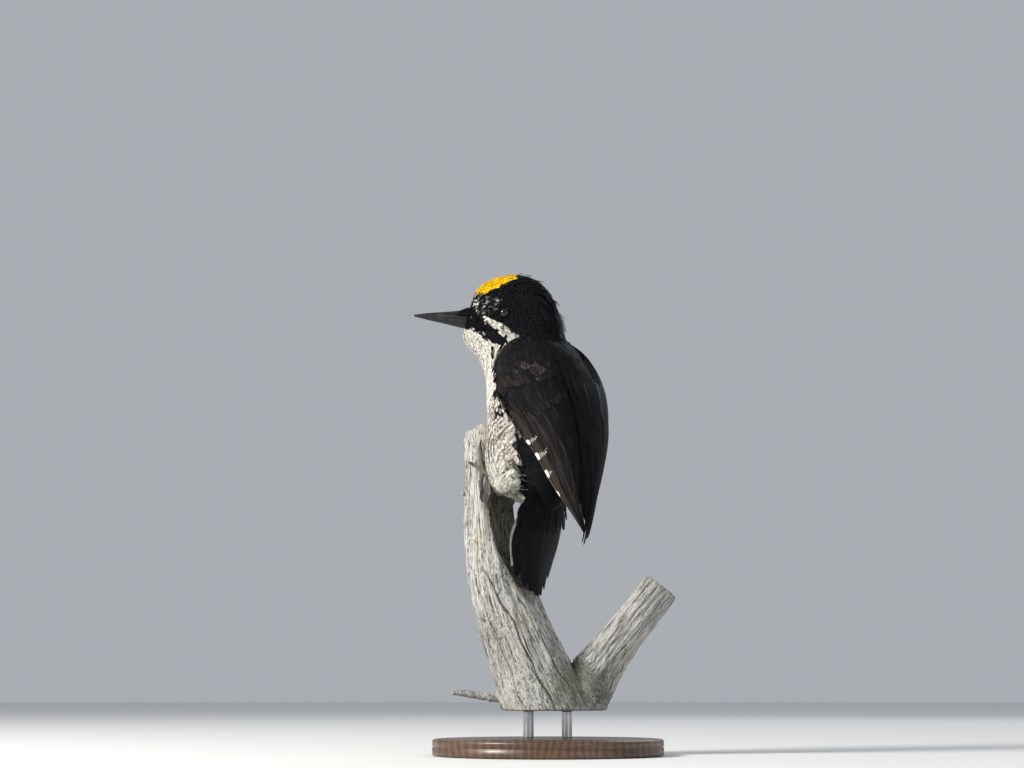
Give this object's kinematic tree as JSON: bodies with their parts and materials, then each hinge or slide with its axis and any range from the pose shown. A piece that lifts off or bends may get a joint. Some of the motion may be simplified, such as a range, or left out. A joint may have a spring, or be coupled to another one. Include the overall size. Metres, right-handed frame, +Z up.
{
  "type": "black-backed woodpecker",
  "caption": "Life-size still model of a male black-backed woodpecker clinging, tail braced, to a cut length of forked weathered snag on a plain round stand.",
  "frame": {"origin": "centre of the display base's flat underside, on the floor", "axes": "+Z up; the bird's bill points along -X with its left side towards -Y; the snag's cut arm leans towards +X"},
  "size_m": [0.153, 0.132, 0.2788],
  "materials": {
    "plumage_head": "glossy blue-black feathers with a yellow forecrown, a white moustachial stripe and a white throat",
    "plumage_body": "glossy black back, white breast and belly, flanks barred black and white",
    "plumage_wing": "satin brownish-black feathers, outer primaries barred with white",
    "plumage_tail": "satin black feathers, outer ones white",
    "bill": "slate-black horn, satin",
    "eye": "wet dark brown",
    "leg_skin": "dark grey scaled skin",
    "claw_horn": "dark horn",
    "snag_wood": "bare silver-grey weathered wood with long cracks and a little lichen",
    "stand_wood": "dark stained wood, satin",
    "rod_steel": "brushed steel"
  },
  "bodies": {
    "root": {"head": "plumage_head", "neck": "plumage_body", "trunk": "plumage_body", "bill_upper": "bill", "bill_lower": "bill", "tail": "plumage_tail", "perch_snag": "snag_wood", "stand_base": "stand_wood", "eye_left": "eye", "wing_left": "plumage_wing", "thigh_left": "plumage_body", "tarsus_left": "leg_skin", "stand_rod_left": "rod_steel", "toe_inner_left": "leg_skin", "claw_inner_left": "claw_horn", "toe_outer_left": "leg_skin", "claw_outer_left": "claw_horn", "toe_hind_left": "leg_skin", "claw_hind_left": "claw_horn", "eye_right": "eye", "wing_right": "plumage_wing", "thigh_right": "plumage_body", "tarsus_right": "leg_skin", "stand_rod_right": "rod_steel", "toe_inner_right": "leg_skin", "claw_inner_right": "claw_horn", "toe_outer_right": "leg_skin", "claw_outer_right": "claw_horn", "toe_hind_right": "leg_skin", "claw_hind_right": "claw_horn"}
  },
  "joints": []
}
